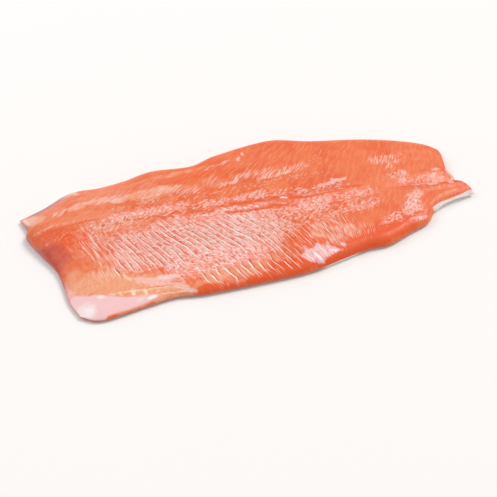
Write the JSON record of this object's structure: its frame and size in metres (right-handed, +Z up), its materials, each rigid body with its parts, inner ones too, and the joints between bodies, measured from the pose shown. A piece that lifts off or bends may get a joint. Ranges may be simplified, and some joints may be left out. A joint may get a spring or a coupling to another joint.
{
  "type": "raw steelhead trout fillet",
  "caption": "Long flat raw trout fillet lying skin down, thick along the back, thin at the belly, with a midline groove and a split, tapered tail end.",
  "frame": {"origin": "on the surface that the skin lies on, under the middle of the fillet's box", "axes": "+X from the head cut to the tail, +Y from the belly edge to the back edge, +Z up out of the flesh"},
  "size_m": [0.4607, 0.2049, 0.0244],
  "materials": {
    "flesh": "raw salmon-orange fish flesh, wet, with pale fat lines",
    "skin": "silvery scaled skin, wet, with a whitish cut rim"
  },
  "bodies": {
    "root": {"flesh": "flesh", "skin": "skin"}
  },
  "joints": []
}
